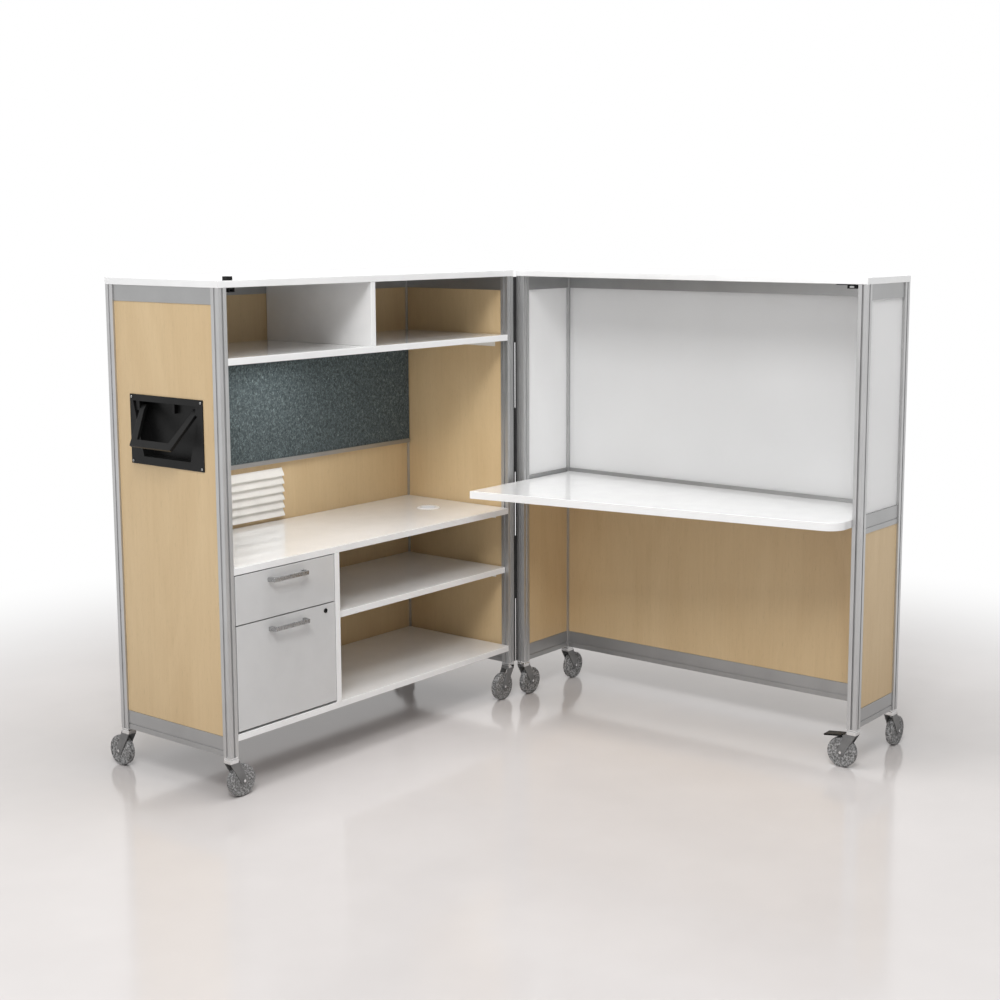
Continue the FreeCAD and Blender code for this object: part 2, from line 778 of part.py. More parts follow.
def bail():
    """The swinging handle: two slanting arms and a grip, on a pin at each arm's end."""
    body = new_body("bail")
    top, low = "bail_span / 2 + bail_arm_width / 2", "bail_grip_length / 2"
    outer = [(low, "-bail_reach"), (top, "-ear_radius"), (top, "ear_radius")]
    pad(body, polygon(body, "YZ_Plane", mirrored_pairs(outer)), "bail_thick", both_ways=True)
    inner_top = f"{top} - bail_arm_width"
    inner = [(f"{low} - bail_arm_width", "bail_grip_width - bail_reach"),
             (inner_top, "-ear_radius"), (inner_top, "ear_radius + overrun")]
    pocket(body, polygon(body, "YZ_Plane", mirrored_pairs(inner)))
    for side in (1, -1):
        lift = f"{side} * ({top} - overrun / 2)"
        pin = circle(body, "XZ_Plane", "0", "0", "bail_pin", lift)
        feature = pad(body, pin, "bail_pin_length + overrun / 2")
        feature.Reversed = side < 0
    x, y = storage.point("bail_along", "handle_middle")
    put(body, x, y, "bail_height", Rotation(Vector(0, 1, 0), SIZES["bail_angle"]))
    part("bail_handle", body)


def desk_worksurface():
    """The surface widens towards the hinge, where it reaches out most. Its outer front corner is round."""
    body = new_body("surface")
    low, high = "bay_low + work_side_gap", "bay_high - work_side_gap"
    outline = [("desk_board_back", f"-({low})"), ("desk_board_back", f"-({high})"),
               ("-far_reach", f"-({high})"), ("-near_reach", f"-({low})")]
    pad(body, polygon(body, "XY_Plane", outline), "desk_work_thick")
    doc.recompute()
    corner = Vector(number("-far_reach"), -number(high), 0)
    edge = next(i for i, e in enumerate(body.Shape.Edges, start=1)
                if all(corner.isEqual(Vector(v.X, v.Y, 0), number("fit_clear")) for v in e.Vertexes))
    surface = body.Tip
    rounding = body.newObject("PartDesign::Fillet", "corner")
    rounding.Base = (surface, [f"Edge{edge}"])
    bind(rounding, Radius="work_corner")
    x, y = desk.point("0", "0")
    part("desk_worksurface", put(body, x, y, "desk_work_bottom"))


def hinge_leaf(name, cabinet, first):
    """A leaf on a post's face, with every second knuckle of the fold hinge."""
    storage_side = cabinet is storage
    lift = "0" if storage_side else "knuckle_gap"

    def strip(start, end, rise, high):
        if storage_side:
            return block(storage, (f"-({rise}) - leaf_thick", f"-({rise})"), (start, end), high)
        return block(desk, (f"-({rise}) - leaf_thick", f"-({rise})"),
                     (f"{start} - fold_gap", f"{end} - fold_gap"), high)

    post_start = "fold_offset + knuckle_radius + 2 * knuckle_gap" if storage_side else "fold_gap"
    full = ("hinge_bottom", "hinge_bottom + knuckle_pitch * knuckle_count")
    solids = [strip(post_start, f"{post_start} + leaf_width", "0", full)]
    for step in range(first, SIZES["knuckle_count"], 2):
        bottom = f"hinge_bottom + {step} * knuckle_pitch + knuckle_gap / 2"
        top = f"hinge_bottom + {step + 1} * knuckle_pitch - knuckle_gap / 2"
        web_end = f"{post_start} + knuckle_radius"
        solids.append(strip("fold_offset + knuckle_gap", web_end, lift, (bottom, top)))
        solids.append(rod("knuckle_radius", "knuckle_pitch - knuckle_gap", "corner_x + fold_offset",
                          "corner_y + fold_offset", bottom))
    bore = rod("hinge_pin_radius + running_clear", "post_length", "corner_x + fold_offset",
               "corner_y + fold_offset", "floor_to_post")
    part(name, cut(fuse(*solids), bore))


def fold_hinge():
    hinge_leaf("hinge_leaf_storage", storage, 0)
    hinge_leaf("hinge_leaf_desk", desk, 1)
    part("hinge_pin", rod("hinge_pin_radius", "post_length - 2 * leaf_end_gap", "corner_x + fold_offset",
                          "corner_y + fold_offset", "hinge_bottom"))


def latch():
    """A slide bolt under the desk's top, and its keeper under the storage top."""
    middle = "latch_along"
    block_end = f"{middle} + latch_block / 2"
    plate = block(desk, (f"{block_end} - latch_plate_length", block_end), ("latch_front", "latch_back"),
                  ("post_top - latch_plate_thick", "post_top"))
    housing = block(desk, (f"{middle} - latch_block / 2", block_end), ("latch_front", "latch_back"),
                    ("latch_bottom", "post_top"))

    def bolt_way(cabinet, clear, deep, drop="0"):
        along = (f"{middle} - bolt_width / 2 - {clear}", f"{middle} + bolt_width / 2 + {clear}")
        high = (f"bolt_bottom - {clear} - {drop}", f"bolt_bottom + bolt_height + {clear}")
        return block(cabinet, along, deep, high)

    way = bolt_way(desk, "bolt_clear", ("latch_front - overrun", "latch_back + overrun"))
    part("latch_housing", cut(fuse(plate, housing), way))
    bolt_end = "latch_front + bolt_length"
    tab = bolt_way(desk, "0", (f"{bolt_end} - bolt_tab", bolt_end), "bolt_tab_drop")
    part("latch_bolt", fuse(bolt_way(desk, "0", ("latch_front", bolt_end)), tab))
    keeper_back = "latch_front + keeper_width"
    keeper = block(storage, (f"{middle} - keeper_width / 2", f"{middle} + keeper_width / 2"),
                   ("latch_front", keeper_back), ("latch_bottom", "post_top"))
    slot = bolt_way(storage, "2 * bolt_clear", ("latch_front - overrun", f"{keeper_back} + overrun"))

    def column(clear, high):
        """The keeper's square head, which stands up through the slab."""
        along = (f"{middle} - keeper_cap / 2 - {clear}", f"{middle} + keeper_cap / 2 + {clear}")
        deep = (f"keeper_cap_setback - {clear}", f"keeper_cap_setback + keeper_cap + {clear}")
        return block(storage, along, deep, high)

    head = column("0", ("post_top", "post_top + slab_thick + keeper_cap_height"))
    part("latch_keeper", fuse(cut(keeper, slot), head))
    hole = column("fit_clear", ("post_top - overrun", "post_top + slab_thick + overrun"))
    part("storage_top", cut(parts["storage_top"], hole))


def caster_plate(cabinet, along, deep):
    """The fixed top of a caster: a square plate against the post, and the kingpin."""
    half = "caster_plate_side / 2"
    spans = [(f"{place} - {half}", f"{place} + {half}") for place in (along, deep)]
    plate = block(cabinet, *spans, ("floor_to_post - caster_plate", "floor_to_post"))
    x, y = cabinet.point(along, deep)
    return fuse(plate, rod("kingpin_radius", "floor_to_post - head_bottom", x, y, "head_bottom"))


def side_outline():
    """A fork's side: from the head, down the slanting arm to the boss round the axle."""
    boss, flat = "fork_boss", "boss_flat"
    shoulder = [("-head_half", "head_bottom"), ("-head_half", "head_top"), ("head_half", "head_top")]
    corners = [(boss, flat), (boss, f"-{flat}"), (flat, f"-{boss}"),
               (f"-{flat}", f"-{boss}"), (f"-{boss}", f"-{flat}")]
    return shoulder + [(f"caster_trail + ({x})", f"wheel_radius + ({y})") for x, y in corners]


def nut(y):
    """A six-sided head at an end of the axle, in the fork's own frame."""
    prism = doc.addObject("Part::Prism", "nut")
    prism.Polygon = 6
    bind(prism, Circumradius="nut_radius", Height="nut_height")
    return put(prism, "caster_trail", y, "wheel_radius", Rotation(Vector(1, 0, 0), -90))


def fork(braked):
    """A fork padded from its side outline and slotted for the wheel, with the axle across it."""
    body = new_body("fork")
    pad(body, polygon(body, "XZ_Plane", side_outline()), "fork_width", both_ways=True)
    inner = "fork_width / 2 - fork_wall"
    if braked:
        ear = circle(body, "XZ_Plane", "pedal_pivot_along", "pedal_pivot_height", "pedal_hub")
        pad(body, ear, "fork_width", both_ways=True)
    slot = polygon(body, "YZ_Plane", mirrored_pairs([(inner, "0"), (inner, "head_bottom")]))
    pocket(body, slot)
    pocket(body, circle(body, "XY_Plane", "0", "0", "kingpin_radius + running_clear"))
    bars = [("caster_trail", "wheel_radius", "axle_radius")]
    if braked:
        bars.append(("pedal_pivot_along", "pedal_pivot_height", "pedal_pin"))
    for along, height, radius in bars:
        pad(body, circle(body, "XZ_Plane", along, height, radius), "fork_width", both_ways=True)
    return fuse(body, nut("fork_width / 2"), nut("-(fork_width / 2) - nut_height"))


def wheel():
    """A wheel turned from its section."""
    bore, half = "axle_radius + running_clear", "wheel_width / 2"
    section = [(bore, f"-({half})"), ("wheel_radius", f"-({half})"), ("wheel_radius", half), (bore, half)]
    body = new_body("wheel")
    revolve(body, polygon(body, "XY_Plane", section))
    return body


def pedal(x, y, turn):
    """The brake pedal: a hub on its pin, a neck between the fork's ears and a wide sloping tread."""
    body = new_body("pedal")
    along, height = "pedal_pivot_along", "pedal_pivot_height"
    start, end, top = f"{along} + pedal_back", f"{along} + pedal_reach", f"{height} + pedal_hub"
    tread = [(start, f"{top} - pedal_thick"), (end, f"{top} - pedal_thick - pedal_fall"),
             (end, f"{top} - pedal_fall"), (start, top)]
    neck = [(along, f"{top} - pedal_thick"), (start, f"{top} - pedal_thick"), (start, top), (along, top)]
    pad(body, circle(body, "XZ_Plane", along, height, "pedal_hub"), "pedal_neck", both_ways=True)
    pad(body, polygon(body, "XZ_Plane", neck), "pedal_neck", both_ways=True)
    pad(body, polygon(body, "XZ_Plane", tread), "pedal_width", both_ways=True)
    pocket(body, circle(body, "XZ_Plane", along, height, "pedal_pin + running_clear"))
    return put(body, x, y, "0", turn)


CASTERS = {
    "storage_front_outer": (storage, "unit_length - stem_inset", "stem_inset", 0),
    "storage_front_hinge": (storage, "stem_inset", "stem_inset", 180),
    "storage_back_outer": (storage, "unit_length - stem_inset", "storage_depth - stem_inset", 90),
    "storage_back_hinge": (storage, "stem_inset", "storage_depth - stem_inset", 90),
    "desk_front_outer": (desk, "unit_length - stem_inset", "stem_inset", 90),
    "desk_front_hinge": (desk, "stem_inset", "stem_inset", 0),
    "desk_back_outer": (desk, "unit_length - stem_inset", "desk_depth - stem_inset", 0),
    "desk_back_hinge": (desk, "stem_inset", "desk_depth - stem_inset", 0),
}


def casters():
    """Eight swivel casters. Each one's number is the way it trails, in degrees from +X."""
    plates = {storage: [], desk: []}
    for name, (cabinet, along, deep, heading) in CASTERS.items():
        x, y = cabinet.point(along, deep)
        turn = Rotation(Vector(0, 0, 1), heading)
        braked = name == "desk_front_outer"
        plates[cabinet].append(caster_plate(cabinet, along, deep))
        part(f"{name}_fork", put(fork(braked), x, y, "0", turn))
        ahead = turn.multVec(Vector(1, 0, 0))
        roller = wheel()
        put(roller, f"{x} + {round(ahead.x)} * caster_trail", f"{y} + {round(ahead.y)} * caster_trail",
            "wheel_radius", turn)
        part(f"{name}_wheel", roller)
        if braked:
            part("brake_pedal", pedal(x, y, turn))
    part("storage_caster_plates", *plates[storage])
    part("desk_caster_plates", *plates[desk])


def centre_origin():
    """Moves the hinge corner so that the whole box is centred on the origin."""
    box = FreeCAD.BoundBox()
    for item in parts.values():
        box.add(item.Shape.optimalBoundingBox(False))
    row = {alias: index for index, alias in enumerate(PLACES, start=1)}
    places.set(f"B{row['corner_x']}", str(-box.Center.x))
    places.set(f"B{row['corner_y']}", str(-box.Center.y))
    doc.recompute()


def check():
    """Stops on any failed object or empty or broken sub-part."""
    for item in doc.Objects:
        if {"Invalid", "Error"} & set(item.State):
            raise RuntimeError(f"{item.Name} ({item.Label}) failed: {item.State}")
    for name, item in parts.items():
        if item.Shape.isNull() or not item.Shape.isValid() or not item.Shape.Solids:
            raise RuntimeError(f"{name} has no valid solid")


def export():
    os.makedirs("parts", exist_ok=True)
    for name, item in parts.items():
        item.Shape.exportStep(f"parts/{name}.step")


sizes = fill_sheet("Sizes", {alias: str(value) for alias, value in SIZES.items()})
places = doc.addObject("Spreadsheet::Sheet", "Places")
for index, (alias, formula) in enumerate(PLACES.items(), start=1):
    places.set(f"A{index}", alias)
    places.setAlias(f"B{index}", alias)
    places.set(f"B{index}", "=" + ref(formula).replace("Places.", ""))
doc.recompute()

posts("storage_posts", storage, "storage_depth")
posts("desk_posts", desk, "desk_depth")
rails()
storage_panels()
desk_panels()
slabs()
storage_shelves()
grommet()
cleats()
tackboard()
slat_tile()
pedestal()
runners()
drawers()
handle_tray()
bail()
desk_worksurface()
fold_hinge()
latch()
casters()
doc.recompute()
centre_origin()
check()
export()
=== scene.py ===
import json
import math
import bmesh
import bpy
from mathutils import Euler, Matrix, Vector

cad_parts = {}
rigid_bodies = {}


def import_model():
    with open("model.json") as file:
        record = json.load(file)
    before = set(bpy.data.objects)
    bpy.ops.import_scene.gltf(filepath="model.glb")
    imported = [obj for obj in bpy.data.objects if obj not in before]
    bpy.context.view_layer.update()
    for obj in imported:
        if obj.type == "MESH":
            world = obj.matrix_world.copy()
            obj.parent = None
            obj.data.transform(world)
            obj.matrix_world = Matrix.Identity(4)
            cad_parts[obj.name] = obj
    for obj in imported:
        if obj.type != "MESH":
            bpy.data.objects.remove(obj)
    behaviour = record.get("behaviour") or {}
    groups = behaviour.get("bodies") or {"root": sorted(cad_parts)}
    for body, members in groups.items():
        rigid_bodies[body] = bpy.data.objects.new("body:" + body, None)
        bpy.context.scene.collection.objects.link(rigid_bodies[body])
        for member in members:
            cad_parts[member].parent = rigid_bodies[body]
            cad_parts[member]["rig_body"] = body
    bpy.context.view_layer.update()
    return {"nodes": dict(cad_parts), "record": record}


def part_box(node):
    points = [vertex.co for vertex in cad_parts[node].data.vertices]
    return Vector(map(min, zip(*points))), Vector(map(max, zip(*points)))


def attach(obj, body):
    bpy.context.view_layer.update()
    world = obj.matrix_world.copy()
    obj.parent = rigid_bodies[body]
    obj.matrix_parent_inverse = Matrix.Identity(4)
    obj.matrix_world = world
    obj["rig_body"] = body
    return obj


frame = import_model()
nodes = frame["nodes"]

X, Y, Z = Vector((1, 0, 0)), Vector((0, 1, 0)), Vector((0, 0, 1))


def low(node):
    """The corner of a node's box with the smallest coordinates."""
    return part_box(node)[0]


def high(node):
    """The corner of a node's box with the largest coordinates."""
    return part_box(node)[1]


def middle(node):
    """The centre of a node's box."""
    return (low(node) + high(node)) / 2


# The corner where the two cabinets meet in plan, and how far the hinge's axis stands off it.
FOLD_OFFSET = 0.006
CORNER = Vector((middle("hinge_pin").x - FOLD_OFFSET, middle("hinge_pin").y - FOLD_OFFSET, 0))


# Sockets of the Mix node when it mixes colours.
MIX_SHARE, MIX_FIRST, MIX_SECOND, MIX_RESULT = 0, 6, 7, 2


class Shader:
    """A material's node tree, with short ways to add and join nodes."""

    def __init__(self, name):
        self.material = bpy.data.materials.new(name)
        self.material.use_nodes = True
        self.tree = self.material.node_tree
        self.surface = self.tree.nodes["Principled BSDF"]
        self.output = self.tree.nodes["Material Output"]

    def add(self, kind, inputs=None, **settings):
        """A new node, with its settings and with values or sockets for its inputs."""
        node = self.tree.nodes.new(kind)
        for key, value in settings.items():
            setattr(node, key, value)
        for key, value in (inputs or {}).items():
            self.feed(node, key, value)
        return node

    def feed(self, node, key, value):
        if isinstance(value, bpy.types.NodeSocket):
            self.tree.links.new(value, node.inputs[key])
        else:
            node.inputs[key].default_value = value

    def place(self, stretch=(1, 1, 1)):
        """The point on the object, in metres, scaled apart along each axis."""
        coordinates = self.add("ShaderNodeTexCoord").outputs["Object"]
        return self.add("ShaderNodeMapping", {"Vector": coordinates, "Scale": stretch}).outputs[0]

    def noise(self, scale, detail=4, roughness=0.55, stretch=(1, 1, 1), distortion=0):
        inputs = {"Vector": self.place(stretch), "Scale": scale, "Detail": detail,
                  "Roughness": roughness, "Distortion": distortion}
        return self.add("ShaderNodeTexNoise", inputs).outputs["Fac"]

    def ramp(self, value, *stops):
        """Turns a value into a colour. Each stop is a position and a colour or a grey."""
        node = self.add("ShaderNodeValToRGB", {"Fac": value})
        elements = node.color_ramp.elements
        while len(elements) < len(stops):
            elements.new(0.5)
        for element, (position, colour) in zip(elements, stops):
            element.position = position
            element.color = grey(colour) if isinstance(colour, (int, float)) else (*colour, 1)
        return node.outputs["Color"]

    def spread(self, value, start, end):
        """Moves a 0 to 1 value to another range."""
        return self.add("ShaderNodeMapRange", {"Value": value, "To Min": start, "To Max": end}).outputs[0]

    def blend(self, share, first, second, kind="MIX"):
        """Mixes two colours."""
        node = self.add("ShaderNodeMix", data_type="RGBA", blend_type=kind)
        self.feed(node, MIX_SHARE, share)
        self.feed(node, MIX_FIRST, first)
        self.feed(node, MIX_SECOND, second)
        return node.outputs[MIX_RESULT]

    def bump(self, height, depth, strength=1):
        inputs = {"Height": height, "Distance": depth, "Strength": strength}
        self.set(Normal=self.add("ShaderNodeBump", inputs).outputs["Normal"])

    def set(self, **inputs):
        """Values or sockets for the surface's inputs, with _ for a space in a name."""
        for key, value in inputs.items():
            self.feed(self.surface, key.replace("_", " "), value)

    def mix_surface(self, share, other):
        """Lays another shader node over the surface, by a share from 0 to 1."""
        mix = self.add("ShaderNodeMixShader", {"Fac": share})
        self.tree.links.new(self.surface.outputs[0], mix.inputs[1])
        self.tree.links.new(other.outputs[0], mix.inputs[2])
        self.tree.links.new(mix.outputs[0], self.output.inputs["Surface"])


def grey(value):
    """An opaque grey."""
    return (value, value, value, 1)


MAPLE_LIGHT = (0.70, 0.53, 0.31)
MAPLE_MID = (0.63, 0.46, 0.255)
MAPLE_DARK = (0.48, 0.33, 0.17)
FELT_BLACK = (0.022, 0.03, 0.034)
FELT_SLATE = (0.065, 0.085, 0.09)
FELT_TEAL = (0.16, 0.205, 0.21)
FELT_FLECK = (0.36, 0.43, 0.43)
FELT_CLOUD = (0.045, 0.058, 0.062, 1)
SLAT_SHADE = (0.82, 0.80, 0.76)
SLAT_LIGHT = (0.87, 0.85, 0.81)
FLOOR_SHADE = (0.62, 0.59, 0.58)
FLOOR_LIGHT = (0.65, 0.62, 0.61)


def maple():
    """Upright maple grain: slow figure, fine streaks and short dark pores."""
    s = Shader("maple")
    figure = s.noise(5, detail=5, roughness=0.6, stretch=(1, 1, 0.22), distortion=1.2)
    streaks = s.noise(90, detail=6, roughness=0.65, stretch=(1, 1, 0.03), distortion=0.3)
    pores = s.noise(600, detail=3, roughness=0.7, stretch=(1, 1, 0.05))
    base = s.ramp(figure, (0.32, MAPLE_MID), (0.68, MAPLE_LIGHT))
    lined = s.blend(s.spread(streaks, 0, 0.35), base, (*MAPLE_DARK, 1))
    speck = s.ramp(pores, (0.27, 0.55), (0.4, 1))
    s.set(Base_Color=s.blend(0.5, lined, speck, "MULTIPLY"), Roughness=s.spread(streaks, 0.34, 0.5))
    s.bump(pores, 0.00008)
    return s.material


def laminate(name="white_laminate", tone=0.87):
    """Smooth white laminate with a faint orange-peel gloss. A lower tone gives a darker copy of it, which
    is painted shade.
    """
    s = Shader(name)
    mottle = s.noise(14, detail=3)
    peel = s.noise(420, detail=2)
    s.set(Base_Color=s.ramp(mottle, (0.3, tone * 0.955), (0.7, tone)),
          Roughness=s.spread(peel, 0.16, 0.3))
    s.set(Coat_Weight=0.8, Coat_Roughness=0.05)
    s.bump(peel, 0.00004, 0.5)
    return s.material


def aluminium(name="aluminium", stretch=(1, 1, 0.01), tone=0.5):
    """Satin anodised extrusion: fine drawn lines along its length."""
    s = Shader(name)
    drawn = s.noise(1500, detail=3, roughness=0.6, stretch=stretch)
    cloud = s.noise(9, detail=3)
    s.set(Base_Color=s.ramp(cloud, (0.3, tone * 0.95), (0.7, tone * 1.04)), Metallic=0.85,
          Roughness=s.spread(drawn, 0.33, 0.41))
    s.bump(drawn, 0.00002, 0.15)
    return s.material


def screen(name, tone, through, speckle):
    """A sheet of translucent plastic with a fine frosted face."""
    s = Shader(name)
    frost = s.noise(speckle, detail=3, roughness=0.7)
    cloud = s.noise(2.5, detail=2)
    colour = s.ramp(cloud, (0.3, tone * 0.96), (0.7, tone))
    s.set(Base_Color=colour, Roughness=s.spread(frost, 0.22, 0.42))
    s.bump(frost, 0.00006, 0.6)
    s.mix_surface(through, s.add("ShaderNodeBsdfTranslucent", {"Color": colour}))
    return s.material


def felt():
    """Dark slate felt with lighter and teal fibres in small tufts."""
    s = Shader("slate_fabric")
    fibres = s.noise(420, detail=6, roughness=0.75, stretch=(1, 1, 0.6), distortion=2)
    tufts = s.noise(130, detail=5, roughness=0.75, stretch=(1, 1, 0.8), distortion=1)
    cloud = s.noise(14, detail=3, roughness=0.6)
    base = s.ramp(tufts, (0.36, FELT_BLACK), (0.5, FELT_SLATE), (0.62, FELT_TEAL), (0.72, FELT_FLECK))
    flecked = s.blend(0.35, base, s.ramp(fibres, (0.4, 0.2), (0.6, 1.4)), "MULTIPLY")
    s.set(Base_Color=s.blend(s.spread(cloud, 0, 0.45), flecked, FELT_CLOUD), Roughness=0.95)
    s.set(Sheen_Weight=0.25, Specular_IOR_Level=0.15)
    s.bump(s.blend(0.5, fibres, tufts), 0.0008)
    return s.material


def black_plastic():
    """Moulded black plastic with a fine spark texture."""
    s = Shader("black_plastic")
    spark = s.noise(1100, detail=2)
    wear = s.noise(22, detail=4)
    s.set(Base_Color=s.ramp(wear, (0.3, 0.005), (0.75, 0.009)), Roughness=s.spread(spark, 0.3, 0.45))
    s.set(Specular_IOR_Level=0.18)
    s.bump(spark, 0.00008)
    return s.material


def white_plastic():
    """Satin white moulding of the cable grommet."""
    s = Shader("white_plastic")
    fine = s.noise(800, detail=2)
    cloud = s.noise(40, detail=3)
    s.set(Base_Color=s.ramp(cloud, (0.3, 0.80), (0.7, 0.84)), Roughness=s.spread(fine, 0.3, 0.42))
    s.bump(fine, 0.00004)
    return s.material


def black_steel():
    """Satin near-black coated steel of the hinge and the lock. On the hinge the near-black is partly
    painted shade, for the shaded gap where the two cabinets meet.
    """
    s = Shader("black_steel")
    drawn = s.noise(900, detail=3, roughness=0.6, stretch=(1, 1, 0.05))
    cloud = s.noise(25, detail=3)
    s.set(Base_Color=s.ramp(cloud, (0.3, 0.010), (0.7, 0.018)), Metallic=0.3,
          Roughness=s.spread(drawn, 0.32, 0.5))
    s.bump(drawn, 0.00004)
    return s.material


def slat_white():
    """Satin warm white of the louvred tile and the shelf angles."""
    s = Shader("slat_metal")
    cloud = s.noise(20, detail=3)
    grain = s.noise(500, detail=2)
    s.set(Base_Color=s.ramp(cloud, (0.3, SLAT_SHADE), (0.7, SLAT_LIGHT)),
          Roughness=s.spread(grain, 0.35, 0.5))
    s.bump(grain, 0.00004)
    return s.material


def bare_steel(name, tone, rough, spots):
    """Plated or polished steel with soft clouding."""
    s = Shader(name)
    cloud = s.noise(spots, detail=4, roughness=0.6)
    fine = s.noise(900, detail=2)
    s.set(Base_Color=s.ramp(cloud, (0.3, tone * 0.85), (0.7, tone)), Metallic=1,
          Roughness=s.spread(cloud, rough * 0.7, rough * 1.4))
    s.bump(fine, 0.00002, 0.5)
    return s.material


def powder_coat():
    """Grey powder-coated steel, slightly pebbled."""
    s = Shader("grey_steel")
    pebble = s.noise(700, detail=3)
    cloud = s.noise(30, detail=4)
    s.set(Base_Color=s.ramp(cloud, (0.3, 0.16), (0.7, 0.22)), Metallic=0.35,
          Roughness=s.spread(pebble, 0.3, 0.5))
    s.bump(pebble, 0.0001)
    return s.material


def tread():
    """Mottled grey urethane with scuffs."""
    s = Shader("wheel_rubber")
    mottle = s.noise(150, detail=5, roughness=0.7)
    scuff = s.noise(55, detail=6, roughness=0.7, stretch=(1, 1, 1), distortion=1)
    base = s.ramp(mottle, (0.38, 0.08), (0.5, 0.24), (0.6, 0.5))
    s.set(Base_Color=s.blend(0.4, base, s.ramp(scuff, (0.3, 0.25), (0.7, 1)), "MULTIPLY"),
          Roughness=s.spread(scuff, 0.5, 0.75))
    s.bump(mottle, 0.0003)
    return s.material


FINISHES = {
    "maple": maple(),
    "white_laminate": laminate(),
    # Painted shade: the drawer fronts' white laminate darkened to tone 0.6 for the shade on the fronts.
    "shaded_front_laminate": laminate("shaded_front_laminate", tone=0.6),
    "aluminium": aluminium(),
    "rail_aluminium": aluminium("rail_aluminium", stretch=(0.01, 0.01, 1), tone=0.38),
    "white_screen": screen("white_screen", tone=0.96, through=0.2, speckle=700),
    "frosted_screen": screen("frosted_screen", tone=0.84, through=0.3, speckle=900),
    "slate_fabric": felt(),
    "black_plastic": black_plastic(),
    "white_plastic": white_plastic(),
    "black_steel": black_steel(),
    "slat_metal": slat_white(),
    "steel": bare_steel("steel", tone=0.5, rough=0.3, spots=60),
    "chrome": bare_steel("chrome", tone=0.75, rough=0.1, spots=90),
    "pull_metal": bare_steel("pull_metal", tone=0.42, rough=0.26, spots=40),
    "grey_steel": powder_coat(),
    "wheel_rubber": tread(),
}


def finish_for(name, slot):
    """A CAD node's material: its slot's own, but for the pieces listed here."""
    if name in ("storage_rails", "desk_rails"):
        return FINISHES["rail_aluminium"]
    # The drawer fronts take the darkened laminate, which is painted shade.
    if name in ("box_drawer_front", "file_drawer_front"):
        return FINISHES["shaded_front_laminate"]
    if name in ("shelf_cleats", "desk_cleats"):
        return FINISHES["slat_metal"]
    return FINISHES[slot]


BOARD_EDGE = 0.0012
MOULDED_EDGE = 0.0012
WHEEL_EDGE = 0.007
OTHER_EDGE = 0.0005


def edge_width(name):
    """How much each piece's edges are eased, in metres."""
    if name.endswith(("_top", "_shelf", "_worksurface", "_front", "_divider")):
        return BOARD_EDGE
    if name.startswith(("handle", "bail", "brake")):
        return MOULDED_EDGE
    if name.endswith("_wheel"):
        return WHEEL_EDGE
    return OTHER_EDGE


WELD_DISTANCE = 0.00001
FLAT_ANGLE = math.radians(0.5)
EDGE_ANGLE = math.radians(35)
EDGE_SEGMENTS = 2


def dress_cad():
    """Materials, eased edges and smooth shading for every CAD node."""
    slots = {s["node"]: s["material_slot"] for s in frame["record"]["subparts"]}
    for name, node in nodes.items():
        mesh = node.data
        if "custom_normal" in mesh.attributes:
            mesh.attributes.remove(mesh.attributes["custom_normal"])
        mesh.materials.clear()
        mesh.materials.append(finish_for(name, slots[name]))
        for face in mesh.polygons:
            face.use_smooth = True
            face.material_index = 0
        node.modifiers.new("weld", "WELD").merge_threshold = WELD_DISTANCE
        flat = node.modifiers.new("flat", "DECIMATE")
        flat.decimate_type = "DISSOLVE"
        flat.angle_limit = FLAT_ANGLE
        edges = node.modifiers.new("edges", "BEVEL")
        edges.width = edge_width(name)
        edges.segments = EDGE_SEGMENTS
        edges.limit_method = "ANGLE"
        edges.angle_limit = EDGE_ANGLE
        node.modifiers.new("normals", "WEIGHTED_NORMAL")


def new_piece(name, shape):
    """An object made from a bmesh, which is used up."""
    mesh = bpy.data.meshes.new(name)
    shape.to_mesh(mesh)
    shape.free()
    piece = bpy.data.objects.new(name, mesh)
    bpy.context.scene.collection.objects.link(piece)
    return piece


def finish_piece(piece, finish, body, edge):
    """A piece's material, eased edges and the body that it rides on."""
    piece.data.materials.append(FINISHES[finish])
    if edge:
        bevel = piece.modifiers.new("edges", "BEVEL")
        bevel.width = edge
        bevel.segments = EDGE_SEGMENTS
    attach(piece, body)
    return piece


def brick(name, corner, other, finish, body, edge=0.0004):
    """A plain block between two corners."""
    shape = bmesh.new()
    bmesh.ops.create_cube(shape, size=1)
    piece = new_piece(name, shape)
    size = Vector(abs(a - b) for a, b in zip(corner, other))
    place = Matrix.Translation((Vector(corner) + Vector(other)) / 2)
    piece.data.transform(place @ Matrix.Diagonal((*size, 1)))
    return finish_piece(piece, finish, body, edge)


SOCKET_SIDES = 6


def stud(name, centre, axis, radius, depth, finish, body, sides=24, edge=0.0003):
    """A round or six-sided head whose middle is at the centre. Only a round one's wall is smooth."""
    shape = bmesh.new()
    bmesh.ops.create_cone(shape, cap_ends=True, segments=sides, radius1=radius, radius2=radius, depth=depth)
    piece = new_piece(name, shape)
    for face in piece.data.polygons:
        face.use_smooth = len(face.vertices) == 4 and sides > SOCKET_SIDES
    turn = Z.rotation_difference(axis).to_matrix().to_4x4()
    piece.data.transform(Matrix.Translation(centre) @ turn)
    return finish_piece(piece, finish, body, edge)


# Lift and thickness of the black hexagon that is painted shade for a screw's socket.
SOCKET_SHADE_LIFT = 0.00005
SOCKET_SHADE_THICKNESS = 0.0001


def screw(name, centre, axis, radius, body):
    """A flat round head, half as high as its radius, with a thin black hexagon on it that is painted shade
    for its socket.
    """
    depth = radius * 0.5
    stud(name, centre + axis * depth / 2, axis, radius, depth, "steel", body)
    # Painted shade: a flat black hexagon just over the head stands for the shaded hollow of the socket.
    stud(name + "_socket_shade", centre + axis * (depth + SOCKET_SHADE_LIFT), axis, radius * 0.5, SOCKET_SHADE_THICKNESS,
         "black_plastic", body, sides=SOCKET_SIDES, edge=0)


